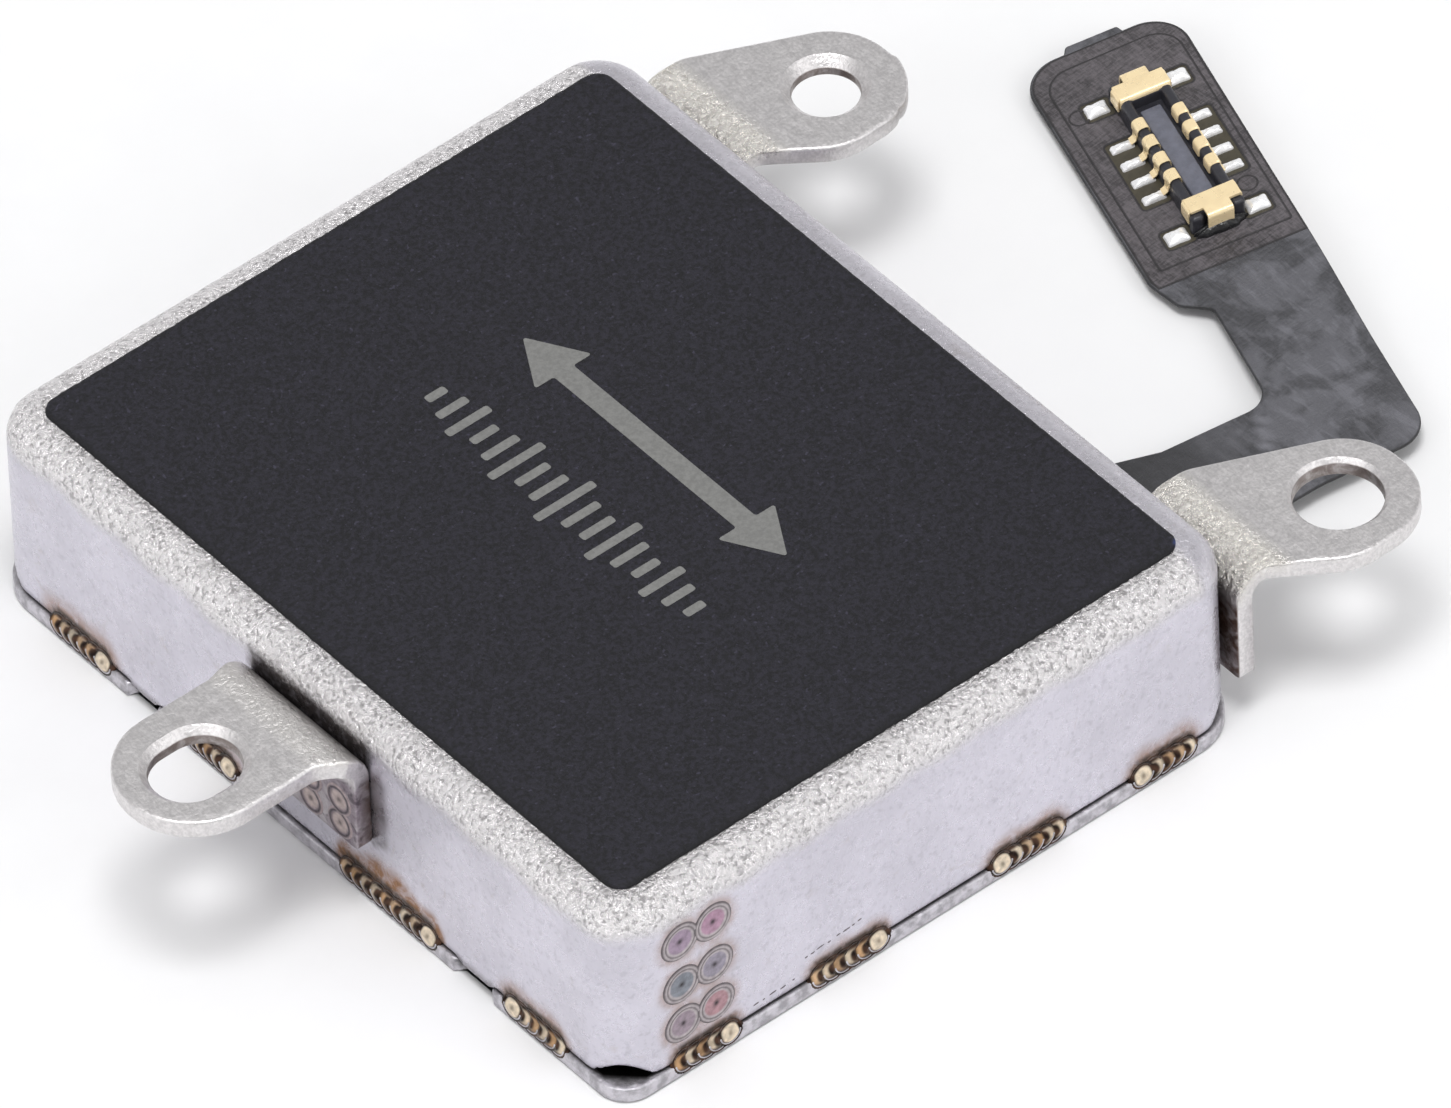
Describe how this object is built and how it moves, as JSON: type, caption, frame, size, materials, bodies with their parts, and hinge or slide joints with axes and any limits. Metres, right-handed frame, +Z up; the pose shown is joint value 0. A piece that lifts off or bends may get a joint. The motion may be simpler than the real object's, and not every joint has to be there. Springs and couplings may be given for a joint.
{
  "type": "linear resonant actuator",
  "caption": "Flat rectangular vibration motor: a sprung magnet mass slides inside a welded steel can with three mounting tabs and a flex tail ending in a board connector.",
  "frame": {"origin": "centre of the base plate's underside", "axes": "+Z up through the can, +X towards the side with two tabs and the flex tail, +Y towards the end with the back tab; the mass slides along Y"},
  "size_m": [0.0233, 0.015, 0.0036],
  "materials": {
    "plate_steel": "satin",
    "can_steel": "satin, crinkled along the top edge",
    "label_film": "matt black film with a grey mark",
    "weld_metal": "heat-tinted weld spots",
    "tab_steel": "fine brushed",
    "flex_film": "black coverlay, half gloss",
    "copper_wire": "enamelled copper winding",
    "clear_film": "amber insulating film",
    "sensor_epoxy": "black epoxy",
    "solder": "bright solder",
    "bumper_rubber": "matt",
    "foam": "closed-cell foam",
    "spring_steel": "cold rolled",
    "tungsten_alloy": "ground tungsten alloy",
    "magnet_nickel": "nickel plate",
    "yoke_steel": "plated",
    "stiffener": "polyimide stiffener",
    "connector_plastic": "moulded black",
    "contact_gold": "gold plate"
  },
  "bodies": {
    "case": {"base_plate": "plate_steel", "can_cover": "can_steel", "cover_label": "label_film", "seam_welds": "weld_metal", "left_tab": "tab_steel", "right_tab": "tab_steel", "back_tab": "tab_steel", "flex_base": "flex_film", "coil_front": "copper_wire", "coil_rear": "copper_wire", "coil_film": "clear_film", "position_sensor": "sensor_epoxy", "coil_solder": "solder", "bumper_front": "bumper_rubber", "bumper_rear": "bumper_rubber", "foam_damper_front": "foam", "foam_damper_rear": "foam", "leaf_spring_front": "spring_steel", "leaf_spring_rear": "spring_steel"},
    "mass": {"mass_frame": "tungsten_alloy", "magnet_front": "magnet_nickel", "magnet_centre": "magnet_nickel", "magnet_rear": "magnet_nickel", "yoke_plate": "yoke_steel", "spring_clamp_front": "spring_steel", "spring_clamp_rear": "spring_steel"},
    "tail": {"flex_tail": "flex_film", "flex_stiffener": "stiffener", "connector_housing": "connector_plastic", "connector_end_caps": "contact_gold", "connector_contacts": "contact_gold", "connector_solder": "solder"}
  },
  "joints": [
    {"name": "mass_slide", "type": "slide", "parent": "case", "child": "mass", "axis": [0, 1, 0], "range_m": [-0.0006, 0.0006], "stiffness_N_per_m": 1200, "deforming": ["leaf_spring_front", "leaf_spring_rear", "foam_damper_front", "foam_damper_rear"]},
    {"name": "flex_fold", "type": "hinge", "parent": "case", "child": "tail", "pos_m": [0.0083, -0.0034, 0.0003], "axis": [0, -1, 0], "range_deg": [0, 75], "stiffness_Nm_per_rad": 0.0002}
  ]
}
